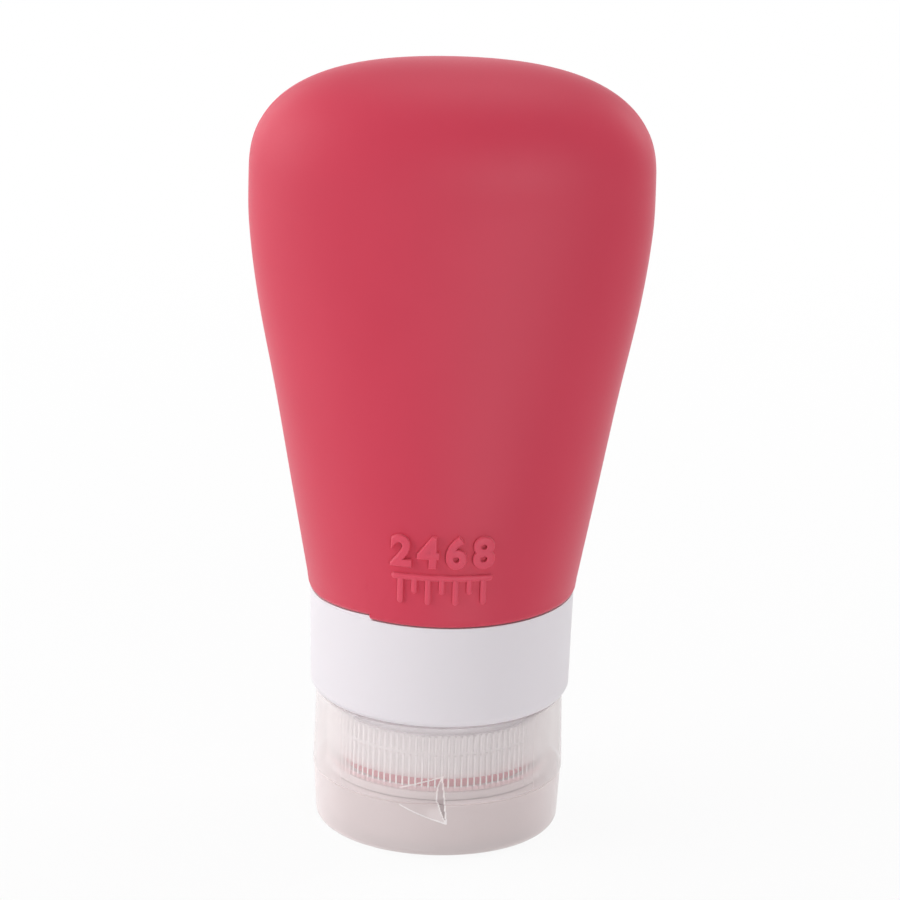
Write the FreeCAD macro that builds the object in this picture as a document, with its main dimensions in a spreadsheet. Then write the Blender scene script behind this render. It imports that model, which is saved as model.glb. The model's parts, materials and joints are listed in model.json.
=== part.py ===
import FreeCAD, Part
import Sketcher
import math
import os

# A squeeze bottle of soft silicone, standing on its flip lid.
# The origin is the centre of the lid's resting face, +Z points to the closed end of the bottle,
# the thumb scoop is at the front (-Y) and the lid's hinge at the back (+Y).

doc = FreeCAD.newDocument("travel_bottle")

# Driving dimensions, in millimetres, degrees and counts
SIZES = {
    # Radii, from the mouth outwards, one wall after the other
    "mouth_radius": 10.0,
    "soft_neck_wall": 1.35,
    "seat_gap": 0.05,
    "neck_wall": 1.5,
    "thread_depth": 0.8,
    "thread_clearance": 0.3,
    "ring_wall": 0.45,
    "rib_depth": 0.35,
    "press_gap": 0.05,
    "cap_wall": 1.5,
    "cap_draft": 0.25,
    "lid_step": 0.15,
    "lid_draft": 0.35,
    "lid_wall": 1.6,
    "collar_step": 1.15,
    "collar_draft": 0.35,
    "collar_wall": 1.15,
    "lip_overhang": 0.05,
    "flange_overhang": 0.05,
    # Heights, from the table upwards
    "lid_height": 7.55,
    "lid_floor": 1.3,
    "lid_edge_rounding": 1.2,
    "lid_gap": 0.15,
    "cap_height": 10.6,
    "deck_thickness": 1.1,
    "cap_edge_rounding": 0.4,
    "seal_gap": 0.1,
    "flange_thickness": 1.7,
    "collar_gap": 0.2,
    "collar_height": 14.3,
    "collar_web": 1.8,
    "collar_edge_rounding": 1.4,
    "lip_height": 1.0,
    "lip_rounding": 0.8,
    "squeeze_height": 72.2,
    # The squeeze body
    "body_half_width": 26.5,
    "body_half_depth": 13.2,
    "body_wall": 2.4,
    # Threaded ring, its ribs and the seam round it
    "ring_height": 7.8,
    "ring_seam_height": 5.3,
    "ring_seam_width": 0.3,
    "rib_count": 106,
    "rib_groove_width": 0.6,
    # Screw thread
    "thread_lead": 3.0,
    "thread_base_width": 1.3,
    "thread_crest_width": 0.6,
    "thread_root_depth": 0.25,
    "thread_start": 1.25,
    "neck_thread_turns": 1.6,
    "ring_thread_turns": 1.8,
    # Spout, valve and retainer
    "spout_length": 4.2,
    "spout_wall": 1.2,
    "spout_lip": 0.9,
    "seat_radius": 5.2,
    "seat_ledge": 1.9,
    "valve_clearance": 0.06,
    "valve_flange": 1.2,
    "valve_skin": 0.6,
    "valve_dome": 0.9,
    "slit_margin": 1.2,
    "slit_width": 0.16,
    "retainer_height": 2.4,
    "retainer_wall": 1.34,
    "snap_bead": 0.2,
    "snap_bead_width": 0.8,
    # Inside the lid
    "stopper_margin": 0.9,
    "stopper_gap": 0.1,
    "guide_gap": 0.25,
    "guide_wall": 0.9,
    "guide_overlap": 1.0,
    # Hinge
    "barrel_radius": 1.2,
    "hinge_drop": 1.35,
    "trunnion_radius": 0.6,
    "trunnion_clearance": 0.06,
    "trunnion_length": 1.4,
    "tongue_half_width": 2.0,
    "side_gap": 0.3,
    "ear_width": 1.7,
    "slot_margin": 2.2,
    "relief_gap": 0.25,
    "lid_open_angle": 135,
    # Thumb scoop over the parting line
    "scoop_tube_radius": 7.4,
    "scoop_offset": 3.8,
    "scoop_start_angle": 38,
    "scoop_span_angle": 45,
    "scoop_rise": 0.5,
    "scoop_end_slope": 33,
    "scoop_end_length": 2.4,
    # Locating ramp on the collar's rim
    "ramp_height": 0.6,
    "ramp_length": 9.9,
    "ramp_angle": 48,
    # Extra length of every cutting tool
    "overrun": 1.0,
}

# Radii and heights that follow from them
FOLLOWING = {
    "soft_neck_radius": "Dim.mouth_radius + Dim.soft_neck_wall",
    "neck_bore_radius": "soft_neck_radius + Dim.seat_gap",
    "neck_radius": "neck_bore_radius + Dim.neck_wall",
    "flange_radius": "neck_radius + Dim.flange_overhang",
    "ring_bore_radius": "neck_radius + Dim.thread_depth + Dim.thread_clearance",
    "rib_root_radius": "ring_bore_radius + Dim.ring_wall",
    "rib_tip_radius": "rib_root_radius + Dim.rib_depth",
    "shell_bore_radius": "rib_tip_radius + Dim.press_gap",
    "cap_top_radius": "shell_bore_radius + Dim.cap_wall",
    "cap_radius": "cap_top_radius + Dim.cap_draft",
    "lid_radius": "cap_radius - Dim.lid_step",
    "lid_base_radius": "lid_radius - Dim.lid_draft",
    "lid_bore_radius": "lid_base_radius - Dim.lid_wall",
    "collar_radius": "cap_top_radius + Dim.collar_step",
    "collar_base_radius": "collar_radius - Dim.collar_draft",
    "cup_radius": "collar_base_radius - Dim.collar_wall",
    "shoulder_radius": "cup_radius - Dim.seat_gap",
    "shoulder_bore_radius": "shoulder_radius - Dim.body_wall",
    "lip_radius": "collar_radius + Dim.lip_overhang",
    "lip_bore_radius": "lip_radius - Dim.body_wall",
    "spout_radius": "Dim.seat_radius + Dim.spout_wall",
    "guide_bore_radius": "spout_radius + Dim.guide_gap",
    "guide_radius": "guide_bore_radius + Dim.guide_wall",
    "valve_radius": "Dim.seat_radius - Dim.valve_clearance",
    "retainer_bore": "valve_radius - Dim.retainer_wall",
    "outlet_radius": "Dim.seat_radius - Dim.seat_ledge",
    "stopper_radius": "outlet_radius - Dim.stopper_margin",
    "slit_length": "2 * (outlet_radius - Dim.slit_margin)",
    "deck_under": "Dim.lid_height + Dim.lid_gap",
    "deck_top": "deck_under + Dim.deck_thickness",
    "cap_end": "deck_under + Dim.cap_height",
    "collar_base": "cap_end + Dim.collar_gap",
    "web_top": "collar_base + Dim.collar_web",
    "collar_rim": "collar_base + Dim.collar_height",
    "flange_base": "deck_top + Dim.seal_gap",
    "flange_top": "flange_base + Dim.flange_thickness",
    "neck_end": "flange_top + Dim.seat_gap",
    "shoulder_base": "web_top + Dim.seat_gap",
    "funnel_base": "shoulder_base + Dim.body_wall",
    "funnel_top": "funnel_base + shoulder_bore_radius - Dim.mouth_radius",
    "lip_base": "collar_rim + Dim.seat_gap",
    "lip_top": "lip_base + Dim.lip_height",
    "bottle_end": "collar_rim + Dim.squeeze_height",
    "spout_end": "deck_under - Dim.spout_length",
    "valve_seat": "spout_end + Dim.spout_lip",
    "valve_base": "valve_seat + Dim.valve_clearance",
    "valve_top": "valve_base + Dim.valve_flange",
    "retainer_top": "valve_top + Dim.retainer_height",
    "bead_middle": "valve_top + Dim.retainer_height / 2",
    "ring_top": "deck_top + Dim.ring_height",
    "ring_seam": "deck_top + Dim.ring_seam_height",
    "neck_thread": "neck_end + Dim.thread_start",
    "ring_thread": "neck_thread - Dim.thread_lead / 2",
    "hinge_y": "lid_base_radius - Dim.barrel_radius",
    "hinge_z": "Dim.lid_height - Dim.hinge_drop",
    "ear_x": "Dim.tongue_half_width + Dim.side_gap",
    "ear_end_x": "ear_x + Dim.ear_width",
    "slot_x": "ear_end_x + Dim.slot_margin",
    "scoop_arc_radius": "cap_radius - Dim.scoop_offset",
    "scoop_end_angle": "Dim.scoop_start_angle - Dim.scoop_span_angle",
}


def make_sheet(name, rows, sign):
    """Fill a spreadsheet with one named value to a row."""
    sheet = doc.addObject("Spreadsheet::Sheet", name)
    for row, (alias, content) in enumerate(rows.items(), start=1):
        sheet.set(f"A{row}", alias)
        sheet.set(f"B{row}", f"{sign}{content}")
        sheet.setAlias(f"B{row}", alias)
    doc.recompute()
    return sheet


sizes = make_sheet("Dim", SIZES, "")
follows = make_sheet("Fit", FOLLOWING, "=")


def bind(feature, **expressions):
    """Tie each property of a feature to an expression; a double underscore stands for a dot."""
    for name, expression in expressions.items():
        feature.setExpression(name.replace("__", "."), expression)
    return feature


def place(feature, x="0", y="0", z="0"):
    """Put a feature's own origin at a point given by three expressions."""
    return bind(feature, Placement__Base__x=x, Placement__Base__y=y, Placement__Base__z=z)


def turn(feature, axis, angle):
    """Turn a feature about an axis through its own origin."""
    feature.Placement.Rotation = FreeCAD.Rotation(axis, 1)
    return bind(feature, Placement__Rotation__Angle=angle)


X_AXIS = FreeCAD.Vector(1, 0, 0)
Y_AXIS = FreeCAD.Vector(0, 1, 0)
Z_AXIS = FreeCAD.Vector(0, 0, 1)


def cylinder(name, radius, length):
    return bind(doc.addObject("Part::Cylinder", name), Radius=radius, Height=length)


def block(name, length, width, tall):
    return bind(doc.addObject("Part::Box", name), Length=length, Width=width, Height=tall)


def join(name, *shapes):
    """Join shapes; faces stay as they are, because merging them spoils the wound threads."""
    feature = doc.addObject("Part::MultiFuse", name)
    feature.Shapes = list(shapes)
    feature.Refine = False
    return feature


def overlap(name, *shapes):
    feature = doc.addObject("Part::MultiCommon", name)
    feature.Shapes = list(shapes)
    return feature


def cut(name, base, *tools):
    feature = doc.addObject("Part::Cut", name)
    feature.Base = base
    feature.Tool = tools[0] if len(tools) == 1 else join(name + "_tools", *tools)
    return feature


def outline(body, name, plane, corners):
    """Draw a closed outline whose corners are pairs of expressions."""
    sketch = body.newObject("Sketcher::SketchObject", name)
    origin = [item for item in body.Origin.OriginFeatures if item.Role == plane]
    sketch.AttachmentSupport = [(origin[0], "")]
    sketch.MapMode = "FlatFace"
    count = len(corners)
    # The corners start on a circle, and their constraints then move them to their places
    steps = [2 * math.pi * index / count for index in range(count)]
    start = [
        FreeCAD.Vector(count * (1 + math.cos(step)), count * (1 + math.sin(step)), 0)
        for step in steps
    ]
    for index in range(count):
        sketch.addGeometry(Part.LineSegment(start[index], start[(index + 1) % count]), False)
    for index in range(count):
        sketch.addConstraint(Sketcher.Constraint("Coincident", index, 2, (index + 1) % count, 1))
    for index, (across, up) in enumerate(corners):
        for kind, axis, guess, expression in (
            ("DistanceX", -2, start[index].x, across),
            ("DistanceY", -1, start[index].y, up),
        ):
            if expression == "0":
                sketch.addConstraint(Sketcher.Constraint("PointOnObject", index, 1, axis))
                continue
            number = sketch.addConstraint(Sketcher.Constraint(kind, -1, 1, index, 1, guess))
            sketch.setExpression(f"Constraints[{number}]", expression)
    return sketch


def turned_body(label, corners):
    """Make a body by turning an outline of radius and height once round Z."""
    body = doc.addObject("PartDesign::Body", label)
    sketch = outline(body, label + "_outline", "XZ_Plane", corners)
    revolution = body.newObject("PartDesign::Revolution", label + "_turning")
    revolution.Profile = sketch
    revolution.ReferenceAxis = (sketch, ["V_Axis"])
    revolution.Angle = 360
    doc.recompute()
    return body


WIDE_SHARE = 0.95


def outer_edge(shape, lowest):
    """Name the lowest or highest edge among the widest circles of a shape."""
    rings = []
    for number, edge in enumerate(shape.Edges, start=1):
        if isinstance(edge.Curve, Part.Circle):
            rings.append((edge.Curve.Center.z, edge.Curve.Radius, f"Edge{number}"))
    widest = max(ring[1] for ring in rings)
    wide = [ring for ring in rings if ring[1] > WIDE_SHARE * widest]
    chosen = min(wide) if lowest else max(wide)
    return chosen[2]


def round_edge(body, name, radius, lowest=True):
    """Round the lowest or highest outer edge of a turned body."""
    base = body.Tip
    fillet = body.newObject("PartDesign::Fillet", name)
    fillet.Base = (base, [outer_edge(base.Shape, lowest)])
    bind(fillet, Radius=radius)
    doc.recompute()


def wind_thread(body, name, root, crest, level, turns):
    """Wind a ridge of tapered section round Z, from its root to its crest radius."""
    sketch = outline(body, name + "_section", "XZ_Plane", [
        (root, f"{level} - Dim.thread_base_width / 2"),
        (crest, f"{level} - Dim.thread_crest_width / 2"),
        (crest, f"{level} + Dim.thread_crest_width / 2"),
        (root, f"{level} + Dim.thread_base_width / 2"),
    ])
    doc.recompute()
    helix = body.newObject("PartDesign::AdditiveHelix", name)
    helix.Profile = sketch
    helix.ReferenceAxis = (sketch, ["V_Axis"])
    helix.Mode = "pitch-turns-angle"
    bind(helix, Pitch="Dim.thread_lead", Turns=turns)
    doc.recompute()


# Squeeze body, of soft silicone: the turned neck with its sealing flange, and the shoulder
soft_neck = turned_body("soft_neck", [
    ("Dim.mouth_radius", "Fit.flange_base"),
    ("Fit.flange_radius", "Fit.flange_base"),
    ("Fit.flange_radius", "Fit.flange_top"),
    ("Fit.soft_neck_radius", "Fit.flange_top"),
    ("Fit.soft_neck_radius", "Fit.shoulder_base"),
    ("Fit.shoulder_radius", "Fit.shoulder_base"),
    ("Fit.shoulder_radius", "Fit.lip_base"),
    ("Fit.lip_radius", "Fit.lip_base"),
    ("Fit.lip_radius", "Fit.lip_top"),
    ("Fit.lip_bore_radius", "Fit.lip_top"),
    ("Fit.shoulder_bore_radius", "Fit.lip_top - Dim.body_wall"),
    ("Fit.shoulder_bore_radius", "Fit.funnel_top"),
    ("Dim.mouth_radius", "Fit.funnel_base"),
])
round_edge(soft_neck, "lip_round", "Dim.lip_rounding")

# Squeeze body: oval sections from the round lip to the flat closed end.
# Each flank section has its rise, and how far its width and depth have gone from round to widest.
FLANK_SHARES = [
    (0.00, 0.00, 0.00),
    (0.18, 0.25, 0.24),
    (0.36, 0.51, 0.49),
    (0.54, 0.80, 0.74),
    (0.68, 0.97, 0.92),
    (0.78, 1.00, 1.00),
]
WIDEST_SHARE = FLANK_SHARES[-1][0]
# The closed end is a superellipse, squarer across the width than through the depth
WIDTH_POWER = 2.55
DEPTH_POWER = 2.1
DOME_ANGLES = (25, 45, 62, 76, 86)


# Corners of the square round an oval, which steer four quarter ellipses from +X round to +X again
OVAL_CORNERS = [(1, 0), (1, 1), (0, 1), (-1, 1), (-1, 0), (-1, -1), (0, -1), (1, -1), (1, 0)]
OVAL_WEIGHTS = [1, math.sqrt(0.5), 1, math.sqrt(0.5), 1, math.sqrt(0.5), 1, math.sqrt(0.5), 1]
QUARTER_KNOTS = [0, 1, 2, 3, 4]
QUARTER_MULTIPLICITIES = [3, 2, 2, 2, 3]


def squeeze_stations(inset):
    """Half width, half depth and height of every section, as the three parts of one vector."""
    base_r = follows.get("lip_radius") - inset
    base_z = follows.get("lip_top")
    end_z = follows.get("bottle_end")
    half_width = sizes.get("body_half_width") - inset
    half_depth = sizes.get("body_half_depth") - inset
    widest_z = base_z + (end_z - base_z) * WIDEST_SHARE
    for rise_share, width_share, depth_share in FLANK_SHARES:
        yield FreeCAD.Vector(
            base_r + (half_width - base_r) * width_share,
            base_r + (half_depth - base_r) * depth_share,
            base_z + (end_z - base_z) * rise_share,
        )
    for angle in DOME_ANGLES:
        rise_share = math.sin(math.radians(angle)) ** (2 / WIDTH_POWER)
        width_share = math.cos(math.radians(angle)) ** (2 / WIDTH_POWER)
        depth_share = (1 - rise_share ** DEPTH_POWER) ** (1 / DEPTH_POWER)
        yield FreeCAD.Vector(
            half_width * width_share,
            half_depth * depth_share,
            widest_z + (end_z - inset - widest_z) * rise_share,
        )


def squeeze_form(name, inset):
    """Make the outside of the squeeze body, or its inside where the wall is the inset."""
    rail = Part.BSplineCurve()
    rail.interpolate(list(squeeze_stations(inset)))
    poles = [
        [FreeCAD.Vector(pole.x * across, pole.y * through, pole.z) for pole in rail.getPoles()]
        for across, through in OVAL_CORNERS
    ]
    weights = [[weight] * rail.NbPoles for weight in OVAL_WEIGHTS]
    skin = Part.BSplineSurface()
    skin.buildFromPolesMultsKnots(
        poles, QUARTER_MULTIPLICITIES, rail.getMultiplicities(), QUARTER_KNOTS, rail.getKnots(),
        False, False, 2, rail.Degree, weights,
    )
    side = skin.toShape()
    rings = [edge for edge in side.Edges if edge.isClosed()]
    ends = [Part.Face(Part.Wire([ring])) for ring in rings]
    skin_and_ends = Part.Compound([side] + ends)
    skin_and_ends.sewShape()
    feature = doc.addObject("Part::Feature", name)
    feature.Shape = Part.makeSolid(skin_and_ends.Shells[0])
    return feature


squeeze_shell = cut(
    "squeeze_shell",
    squeeze_form("squeeze_outside", 0),
    squeeze_form("squeeze_inside", sizes.get("body_wall")),
)


def rim_ramp(name, room):
    """A wedge that rises along the collar's rim to an upright end; room widens it into a notch."""
    start_r = follows.get("cup_radius") - sizes.get("collar_step")
    turn_back = -sizes.get("ramp_angle")
    wedge = doc.addObject("Part::Wedge", name)
    wedge.Ymin = 0
    wedge.Zmin = 0
    wedge.Z2min = 0
    bind(
        wedge,
        Xmin=f"-{room} * Dim.ramp_length / Dim.ramp_height",
        X2min="Dim.ramp_length",
        Xmax=f"Dim.ramp_length + {room}",
        X2max=f"Dim.ramp_length + {room}",
        Ymax=f"Dim.ramp_height + {room}",
        Zmax="Fit.lip_radius - Fit.cup_radius + Dim.collar_step + Dim.overrun",
        Z2max="Fit.lip_radius - Fit.cup_radius + Dim.collar_step + Dim.overrun",
    )
    corner = FreeCAD.Vector(-sizes.get("ramp_length") / 2, -start_r, follows.get("collar_rim"))
    wedge.Placement = FreeCAD.Placement(
        FreeCAD.Rotation(turn_back, 0, 0).multVec(corner),
        FreeCAD.Rotation(turn_back, 0, 90),
    )
    return wedge


notched_neck = cut("notched_neck", soft_neck, rim_ramp("ramp_notch", "Dim.seat_gap"))
bottle_body = join("bottle_body", notched_neck, squeeze_shell)

# Collar, of white polypropylene: the band round the shoulder, the web, and the threaded neck
collar_ring = turned_body("collar_ring", [
    ("Fit.neck_bore_radius", "Fit.neck_end"),
    ("Fit.neck_radius", "Fit.neck_end"),
    ("Fit.neck_radius", "Fit.collar_base"),
    ("Fit.collar_base_radius", "Fit.collar_base"),
    ("Fit.collar_radius", "Fit.collar_rim"),
    ("Fit.cup_radius", "Fit.collar_rim"),
    ("Fit.cup_radius", "Fit.web_top"),
    ("Fit.neck_bore_radius", "Fit.web_top"),
])
round_edge(collar_ring, "collar_round", "Dim.collar_edge_rounding")
wind_thread(
    collar_ring, "neck_thread",
    "Fit.neck_radius - Dim.thread_root_depth", "Fit.neck_radius + Dim.thread_depth",
    "Fit.neck_thread", "Dim.neck_thread_turns",
)
RAMP_TOP = "Fit.collar_rim + Dim.ramp_height"
rim_outside = cylinder("rim_outside", "Fit.collar_radius - Dim.seat_gap", RAMP_TOP)
rim_inside = cylinder("rim_inside", "Fit.cup_radius + Dim.seat_gap", RAMP_TOP)
rim_tube = cut("rim_tube", rim_outside, rim_inside)
ramp_tooth = overlap("ramp_tooth", rim_ramp("ramp_wedge", "0"), rim_tube)
collar = join("collar", collar_ring, ramp_tooth)

# Thumb scoop: a bent tube that leaves the wall on the left, deepens and ends in a cone at the right
scoop_tube = doc.addObject("Part::Torus", "scoop_tube")
bind(
    scoop_tube,
    Radius1="Fit.scoop_arc_radius + Dim.scoop_tube_radius",
    Radius2="Dim.scoop_tube_radius",
    Angle3="Dim.scoop_span_angle",
)
turn(scoop_tube, Z_AXIS, "-90 - Dim.scoop_start_angle")
place(
    scoop_tube,
    x="-Dim.scoop_offset * sin(Dim.scoop_start_angle)",
    y="-Dim.scoop_offset * cos(Dim.scoop_start_angle)",
    z="Fit.deck_under + Dim.scoop_rise",
)
scoop_end = doc.addObject("Part::Cone", "scoop_end")
bind(
    scoop_end,
    Radius1="Dim.scoop_tube_radius",
    Radius2="Dim.scoop_tube_radius - Dim.scoop_end_length * tan(Dim.scoop_end_slope)",
    Height="Dim.scoop_end_length",
)
scoop_end.Placement.Rotation = FreeCAD.Rotation(-follows.get("scoop_end_angle"), 90, 0)
SCOOP_REACH = "(Fit.scoop_arc_radius + Dim.scoop_tube_radius)"
place(
    scoop_end,
    x=f"-Dim.scoop_offset * sin(Dim.scoop_start_angle) - {SCOOP_REACH} * sin(Fit.scoop_end_angle)",
    y=f"-Dim.scoop_offset * cos(Dim.scoop_start_angle) - {SCOOP_REACH} * cos(Fit.scoop_end_angle)",
    z="Fit.deck_under + Dim.scoop_rise",
)
thumb_scoop = join("thumb_scoop", scoop_tube, scoop_end)

# Cap shell, of clear polypropylene: skirt, deck and spout
cap_turning = turned_body("cap_turning", [
    ("Fit.outlet_radius", "Fit.spout_end"),
    ("Fit.spout_radius", "Fit.spout_end"),
    ("Fit.spout_radius", "Fit.deck_under"),
    ("Fit.cap_radius", "Fit.deck_under"),
    ("Fit.cap_top_radius", "Fit.cap_end"),
    ("Fit.shell_bore_radius", "Fit.cap_end"),
    ("Fit.shell_bore_radius", "Fit.deck_top"),
    ("Dim.seat_radius", "Fit.deck_top"),
    ("Dim.seat_radius", "Fit.bead_middle + Dim.snap_bead_width / 2"),
    ("Dim.seat_radius + Dim.snap_bead", "Fit.bead_middle"),
    ("Dim.seat_radius", "Fit.bead_middle - Dim.snap_bead_width / 2"),
    ("Dim.seat_radius", "Fit.valve_seat"),
    ("Fit.outlet_radius", "Fit.valve_seat"),
])
round_edge(cap_turning, "cap_round", "Dim.cap_edge_rounding", lowest=False)


def hinge_rod(name, radius, start, length):
    """A round rod along the hinge line, from a start in X."""
    rod = turn(cylinder(name, radius, length), Y_AXIS, "90")
    return place(rod, x=start, y="Fit.hinge_y", z="Fit.hinge_z")


def hinge_slab(name, start, length, base, top):
    """A flat slab as thick as the hinge barrel, from a base height to a top height."""
    slab = block(name, length, "2 * Dim.barrel_radius", f"{top} - ({base})")
    return place(slab, x=start, y="Fit.hinge_y - Dim.barrel_radius", z=base)


EAR_TOP = "Fit.deck_under + Dim.deck_thickness / 2"
ears = []
for side, start in (("left", "-Fit.ear_end_x"), ("right", "Fit.ear_x")):
    ears.append(hinge_rod(f"{side}_ear_eye", "Dim.barrel_radius", start, "Dim.ear_width"))
    ears.append(hinge_slab(f"{side}_ear_root", start, "Dim.ear_width", "Fit.hinge_z", EAR_TOP))
ear_holes = hinge_rod(
    "ear_holes", "Dim.trunnion_radius + Dim.trunnion_clearance",
    "-Fit.ear_end_x - Dim.overrun", "2 * (Fit.ear_end_x + Dim.overrun)",
)
# Room for the lid's tongue when the lid is wide open
TONGUE_ROOM = "(Dim.barrel_radius + Dim.relief_gap)"
TONGUE_REACH = "(Fit.hinge_z + Dim.overrun)"
OPEN_COS = "cos(Dim.lid_open_angle)"
OPEN_SIN = "sin(Dim.lid_open_angle)"
tongue_relief = block("tongue_relief", "2 * Fit.ear_x", f"2 * {TONGUE_ROOM}", TONGUE_REACH)
turn(tongue_relief, X_AXIS, "Dim.lid_open_angle")
place(
    tongue_relief,
    x="-Fit.ear_x",
    y=f"Fit.hinge_y - {TONGUE_ROOM} * {OPEN_COS} + {TONGUE_REACH} * {OPEN_SIN}",
    z=f"Fit.hinge_z - {TONGUE_ROOM} * {OPEN_SIN} - {TONGUE_REACH} * {OPEN_COS}",
)
cap_with_ears = join("cap_with_ears", cap_turning, *ears)
cap_shell = cut("cap_shell", cap_with_ears, ear_holes, tongue_relief, thumb_scoop)

# Threaded ring, of clear polypropylene, pressed into the shell with a ribbed outside
thread_ring = turned_body("thread_ring", [
    ("Fit.ring_bore_radius", "Fit.deck_top"),
    ("Fit.rib_tip_radius", "Fit.deck_top"),
    ("Fit.rib_tip_radius", "Fit.ring_seam - Dim.ring_seam_width / 2"),
    ("Fit.rib_root_radius", "Fit.ring_seam"),
    ("Fit.rib_tip_radius", "Fit.ring_seam + Dim.ring_seam_width / 2"),
    ("Fit.rib_tip_radius", "Fit.ring_top"),
    ("Fit.ring_bore_radius", "Fit.ring_top"),
])
wind_thread(
    thread_ring, "ring_thread",
    "Fit.ring_bore_radius + Dim.thread_root_depth", "Fit.ring_bore_radius - Dim.thread_depth",
    "Fit.ring_thread", "Dim.ring_thread_turns",
)
groove_section = outline(thread_ring, "groove_section", "XY_Plane", [
    ("Fit.rib_root_radius", "Dim.rib_groove_width / 2"),
    ("Fit.rib_tip_radius + Dim.rib_depth", "0"),
    ("Fit.rib_tip_radius + Dim.rib_depth", "Dim.rib_groove_width"),
])
doc.recompute()
groove = thread_ring.newObject("PartDesign::Pocket", "groove")
groove.Profile = groove_section
groove.Type = "ThroughAll"
groove.Midplane = True
doc.recompute()
grooves = thread_ring.newObject("PartDesign::PolarPattern", "grooves")
grooves.Originals = [groove]
grooves.Axis = (groove_section, ["N_Axis"])
grooves.Angle = 360
bind(grooves, Occurrences="Dim.rib_count")
thread_ring.Tip = grooves
doc.recompute()

# Valve, of soft silicone: a flange and a thin skin, domed inwards and slit crosswise
valve_turning = turned_body("valve_turning", [
    ("0", "Fit.valve_base + Dim.valve_dome"),
    ("Fit.outlet_radius", "Fit.valve_base"),
    ("Fit.valve_radius", "Fit.valve_base"),
    ("Fit.valve_radius", "Fit.valve_top"),
    ("Fit.retainer_bore", "Fit.valve_top"),
    ("Fit.outlet_radius", "Fit.valve_base + Dim.valve_skin"),
    ("0", "Fit.valve_base + Dim.valve_dome + Dim.valve_skin"),
])
SLIT_TALL = "Dim.valve_dome + Dim.valve_skin + Dim.overrun"
slit_along = place(
    block("slit_along", "Fit.slit_length", "Dim.slit_width", SLIT_TALL),
    x="-Fit.slit_length / 2", y="-Dim.slit_width / 2", z="Fit.valve_base",
)
slit_across = place(
    block("slit_across", "Dim.slit_width", "Fit.slit_length", SLIT_TALL),
    x="-Dim.slit_width / 2", y="-Fit.slit_length / 2", z="Fit.valve_base",
)
no_drip_valve = cut("no_drip_valve", valve_turning, slit_along, slit_across)

# Retainer, of clear polypropylene: a snap ring that holds the valve's flange on its seat
valve_retainer = turned_body("valve_retainer", [
    ("Fit.retainer_bore", "Fit.valve_top"),
    ("Fit.valve_radius", "Fit.valve_top"),
    ("Fit.valve_radius", "Fit.bead_middle - Dim.snap_bead_width / 2"),
    ("Fit.valve_radius + Dim.snap_bead", "Fit.bead_middle"),
    ("Fit.valve_radius", "Fit.bead_middle + Dim.snap_bead_width / 2"),
    ("Fit.valve_radius", "Fit.retainer_top"),
    ("Fit.retainer_bore", "Fit.retainer_top"),
])

# Flip lid, of clear polypropylene: a shallow cup with a guide ring round the spout, a stopper
# under the valve, and a tongue at the back whose trunnions turn in the ears of the cap
lid_turning = turned_body("lid_turning", [
    ("0", "0"),
    ("Fit.lid_base_radius", "0"),
    ("Fit.lid_radius", "Dim.lid_height"),
    ("Fit.lid_bore_radius", "Dim.lid_height"),
    ("Fit.lid_bore_radius", "Dim.lid_floor"),
    ("Fit.guide_radius", "Dim.lid_floor"),
    ("Fit.guide_radius", "Fit.spout_end + Dim.guide_overlap"),
    ("Fit.guide_bore_radius", "Fit.spout_end + Dim.guide_overlap"),
    ("Fit.guide_bore_radius", "Dim.lid_floor"),
    ("Fit.stopper_radius", "Dim.lid_floor"),
    ("Fit.stopper_radius", "Fit.valve_seat - Dim.stopper_gap"),
    ("0", "Fit.valve_seat - Dim.stopper_gap"),
])
round_edge(lid_turning, "lid_round", "Dim.lid_edge_rounding")
SLOT_START = "(Fit.guide_radius + Dim.overrun)"
hinge_slot = place(
    block(
        "hinge_slot", "2 * Fit.slot_x", f"Fit.lid_radius + Dim.overrun - {SLOT_START}",
        "Dim.lid_height + Dim.overrun - Dim.lid_floor",
    ),
    x="-Fit.slot_x", y=SLOT_START, z="Dim.lid_floor",
)
tongue_slab = hinge_slab(
    "tongue_slab", "-Dim.tongue_half_width", "2 * Dim.tongue_half_width",
    "Dim.lid_floor - Dim.seat_gap", "Fit.hinge_z",
)
tongue = overlap("tongue", tongue_slab, cylinder("tongue_trim", "Fit.lid_base_radius", "Dim.lid_height"))
barrel = hinge_rod(
    "barrel", "Dim.barrel_radius", "-Dim.tongue_half_width", "2 * Dim.tongue_half_width",
)
trunnions = hinge_rod(
    "trunnions", "Dim.trunnion_radius",
    "-Dim.tongue_half_width - Dim.trunnion_length", "2 * (Dim.tongue_half_width + Dim.trunnion_length)",
)
scooped_lid = cut("scooped_lid", lid_turning, hinge_slot, thumb_scoop)
flip_lid = join("flip_lid", scooped_lid, tongue, barrel, trunnions)

PIECES = {
    "bottle_body": bottle_body,
    "collar": collar,
    "cap_shell": cap_shell,
    "thread_ring": thread_ring,
    "no_drip_valve": no_drip_valve,
    "valve_retainer": valve_retainer,
    "flip_lid": flip_lid,
}
for label, piece in PIECES.items():
    piece.Label = label
doc.recompute()

for feature in doc.Objects:
    if "Invalid" in feature.State or "Error" in feature.State:
        raise RuntimeError(f"{feature.Name} failed: {feature.State}")
for label, piece in PIECES.items():
    if piece.Shape.isNull() or not piece.Shape.isValid():
        raise RuntimeError(f"{label} has no valid shape")

os.makedirs("parts", exist_ok=True)
for label, piece in PIECES.items():
    piece.Shape.exportStep(f"parts/{label}.step")
    print(f"{label}: {len(piece.Shape.Solids)} solid, {piece.Shape.Volume:.0f} cubic mm")
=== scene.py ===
# %% [markdown]
# # A soft travel bottle on its clear cap
# The CAD model gives this bottle its pieces at their real size: a silicone body, a white collar, a
# screw cap in two clear shells, a valve and its ring, and a flip lid. Blender gives them their looks.
# We load that model as a fixed frame first, and everything we add is placed by it.

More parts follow.
